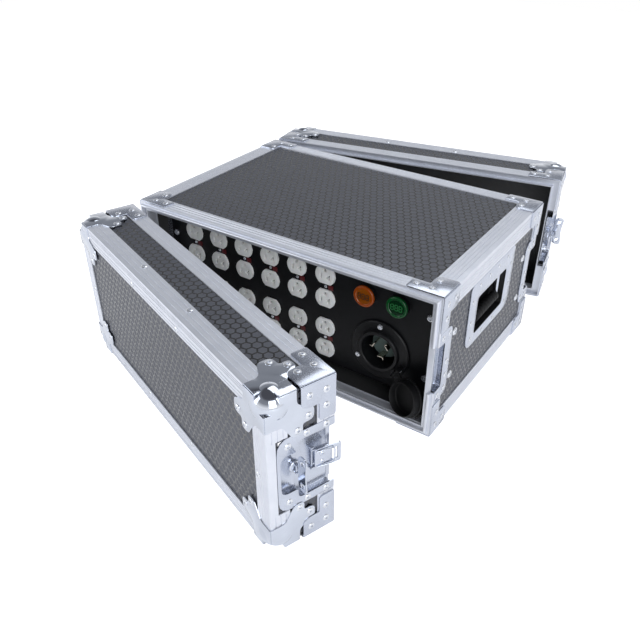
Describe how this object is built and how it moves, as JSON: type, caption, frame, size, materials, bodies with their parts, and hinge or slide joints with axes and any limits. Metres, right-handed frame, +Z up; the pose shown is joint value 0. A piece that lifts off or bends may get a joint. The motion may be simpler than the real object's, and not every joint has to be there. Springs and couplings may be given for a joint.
{
  "type": "rack power distribution box",
  "caption": "Rack power distribution unit in a flight case with aluminium edging, recessed handles and two removable lids with turn latches.",
  "frame": {"origin": "centre of the body's underside, at the outer face of its bottom edging", "axes": "+X to the right as seen from the front, the front panel faces -Y, +Z up"},
  "size_m": [0.5621, 0.8262, 0.233],
  "materials": {
    "ribbed_aluminium": "bright ribbed extrusion",
    "chrome": "bright chrome",
    "zinc_sheet": "zinc plated pressing",
    "laminated_plywood": "black honeycomb laminate over plywood",
    "black_paint": "satin powder coat",
    "white_nylon": "moulded, slightly glossy",
    "black_rubber": "matte",
    "dark_plastic": "moulded, matte",
    "amber_lens": "tinted lens in a dark body",
    "green_lens": "tinted lens in a dark body"
  },
  "bodies": {
    "case": {"amber_meter": "amber_lens", "bottom_left_edge_angle": "ribbed_aluminium", "bottom_panel": "laminated_plywood", "bottom_right_edge_angle": "ribbed_aluminium", "branch_breakers": "dark_plastic", "chassis": "zinc_sheet", "chassis_cover": "zinc_sheet", "front_left_keeper": "zinc_sheet", "front_panel": "black_paint", "front_right_keeper": "zinc_sheet", "front_rim_frame": "ribbed_aluminium", "green_meter": "green_lens", "inlet": "dark_plastic", "left_handle_dish": "zinc_sheet", "left_rack_rail": "zinc_sheet", "left_side_panel": "laminated_plywood", "main_breaker": "black_paint", "outlet_column_1": "white_nylon", "outlet_column_2": "white_nylon", "outlet_column_3": "white_nylon", "outlet_column_4": "white_nylon", "outlet_column_5": "white_nylon", "outlet_column_6": "white_nylon", "rear_left_keeper": "zinc_sheet", "rear_right_keeper": "zinc_sheet", "rear_rim_frame": "ribbed_aluminium", "right_handle_dish": "zinc_sheet", "right_rack_rail": "zinc_sheet", "right_side_panel": "laminated_plywood", "top_left_edge_angle": "ribbed_aluminium", "top_panel": "laminated_plywood", "top_right_edge_angle": "ribbed_aluminium"},
    "front_left_latch_hook": {"front_left_latch_hook": "zinc_sheet"},
    "front_left_latch_hub": {"front_left_latch_hub": "chrome"},
    "front_left_latch_wing": {"front_left_latch_wing": "chrome"},
    "front_right_latch_hook": {"front_right_latch_hook": "zinc_sheet"},
    "front_right_latch_hub": {"front_right_latch_hub": "chrome"},
    "front_right_latch_wing": {"front_right_latch_wing": "chrome"},
    "inlet_cover": {"inlet_cover": "black_rubber"},
    "left_handle_bail": {"left_handle_bail": "black_rubber"},
    "main_breaker_toggle": {"main_breaker_toggle": "white_nylon"},
    "rear_left_latch_hook": {"rear_left_latch_hook": "zinc_sheet"},
    "rear_left_latch_hub": {"rear_left_latch_hub": "chrome"},
    "rear_left_latch_wing": {"rear_left_latch_wing": "chrome"},
    "rear_right_latch_hook": {"rear_right_latch_hook": "zinc_sheet"},
    "rear_right_latch_hub": {"rear_right_latch_hub": "chrome"},
    "rear_right_latch_wing": {"rear_right_latch_wing": "chrome"},
    "right_handle_bail": {"right_handle_bail": "black_rubber"},
    "front_lid": {"front_left_latch_dish": "zinc_sheet", "front_lid_edge_frame": "ribbed_aluminium", "front_lid_face_panel": "laminated_plywood", "front_lid_rim_frame": "ribbed_aluminium", "front_lid_walls": "laminated_plywood", "front_right_latch_dish": "zinc_sheet"},
    "rear_lid": {"rear_left_latch_dish": "zinc_sheet", "rear_lid_edge_frame": "ribbed_aluminium", "rear_lid_face_panel": "laminated_plywood", "rear_lid_rim_frame": "ribbed_aluminium", "rear_lid_walls": "laminated_plywood", "rear_right_latch_dish": "zinc_sheet"}
  },
  "joints": [
    {"name": "front_lid_lift_off", "type": "hinge", "parent": "case", "child": "front_lid", "pos_m": [-0.311, -0.1949, 0], "axis": [0, 0, 1], "range_deg": [-40, 20]},
    {"name": "rear_lid_lift_off", "type": "hinge", "parent": "case", "child": "rear_lid", "pos_m": [-0.315, 0.1944, 0], "axis": [0, 0, 1], "range_deg": [-10.3, 40]},
    {"name": "front_left_latch_turn", "type": "hinge", "parent": "front_lid", "child": "front_left_latch_hub", "pos_m": [-0.27838, -0.23976, 0.113], "axis": [-0.9397, 0.342, 0], "range_deg": [0, 180]},
    {"name": "front_left_wing_fold", "type": "hinge", "parent": "front_left_latch_hub", "child": "front_left_latch_wing", "pos_m": [-0.27537, -0.24086, 0.113], "axis": [0, 0, 1], "range_deg": [0, 90]},
    {"name": "front_left_hook_draw", "type": "hinge", "parent": "front_lid", "child": "front_left_latch_hook", "pos_m": [-0.26337, -0.22075, 0.113], "axis": [0, 0, 1], "range_deg": [-10, 0]},
    {"name": "front_right_latch_turn", "type": "hinge", "parent": "front_lid", "child": "front_right_latch_hub", "pos_m": [0.21966, -0.42103, 0.113], "axis": [0.9397, -0.342, 0], "range_deg": [0, 180]},
    {"name": "front_right_wing_fold", "type": "hinge", "parent": "front_right_latch_hub", "child": "front_right_latch_wing", "pos_m": [0.21665, -0.41994, 0.113], "axis": [0, 0, -1], "range_deg": [0, 90]},
    {"name": "front_right_hook_draw", "type": "hinge", "parent": "front_lid", "child": "front_right_latch_hook", "pos_m": [0.22038, -0.39682, 0.113], "axis": [0, 0, -1], "range_deg": [-10, 0]},
    {"name": "rear_left_latch_turn", "type": "hinge", "parent": "rear_lid", "child": "rear_left_latch_hub", "pos_m": [-0.27144, 0.23433, 0.113], "axis": [-0.9839, -0.1788, 0], "range_deg": [0, 180]},
    {"name": "rear_left_wing_fold", "type": "hinge", "parent": "rear_left_latch_hub", "child": "rear_left_latch_wing", "pos_m": [-0.26829, 0.23491, 0.113], "axis": [0, 0, -1], "range_deg": [0, 90]},
    {"name": "rear_left_hook_draw", "type": "hinge", "parent": "rear_lid", "child": "rear_left_latch_hook", "pos_m": [-0.25985, 0.21306, 0.113], "axis": [0, 0, -1], "range_deg": [-10, 0]},
    {"name": "rear_right_latch_turn", "type": "hinge", "parent": "rear_lid", "child": "rear_right_latch_hub", "pos_m": [0.25002, 0.3291, 0.113], "axis": [0.9839, 0.1788, 0], "range_deg": [0, 180]},
    {"name": "rear_right_wing_fold", "type": "hinge", "parent": "rear_right_latch_hub", "child": "rear_right_latch_wing", "pos_m": [0.24687, 0.32853, 0.113], "axis": [0, 0, 1], "range_deg": [0, 90]},
    {"name": "rear_right_hook_draw", "type": "hinge", "parent": "rear_lid", "child": "rear_right_latch_hook", "pos_m": [0.24666, 0.30511, 0.113], "axis": [0, 0, 1], "range_deg": [-10, 0]},
    {"name": "right_bail_lift", "type": "hinge", "parent": "case", "child": "right_handle_bail", "pos_m": [0.2565, -0.0025, 0.1607], "axis": [0, -1, 0], "range_deg": [0, 90]},
    {"name": "left_bail_lift", "type": "hinge", "parent": "case", "child": "left_handle_bail", "pos_m": [-0.2565, -0.0025, 0.1607], "axis": [0, 1, 0], "range_deg": [0, 90]},
    {"name": "inlet_cover_swing", "type": "hinge", "parent": "case", "child": "inlet_cover", "pos_m": [0.19233, -0.149, 0.06229], "axis": [0.5446, 0, 0.8387], "range_deg": [-157, 0]},
    {"name": "main_breaker_throw", "type": "hinge", "parent": "case", "child": "main_breaker_toggle", "pos_m": [0.15, 0.136, 0.113], "axis": [1, 0, 0], "range_deg": [0, 40]}
  ],
  "couplings": [
    {"joint": "front_left_hook_draw", "follows": "front_left_latch_turn", "ratio": -0.055556},
    {"joint": "front_right_hook_draw", "follows": "front_right_latch_turn", "ratio": -0.055556},
    {"joint": "rear_left_hook_draw", "follows": "rear_left_latch_turn", "ratio": -0.055556},
    {"joint": "rear_right_hook_draw", "follows": "rear_right_latch_turn", "ratio": -0.055556}
  ]
}
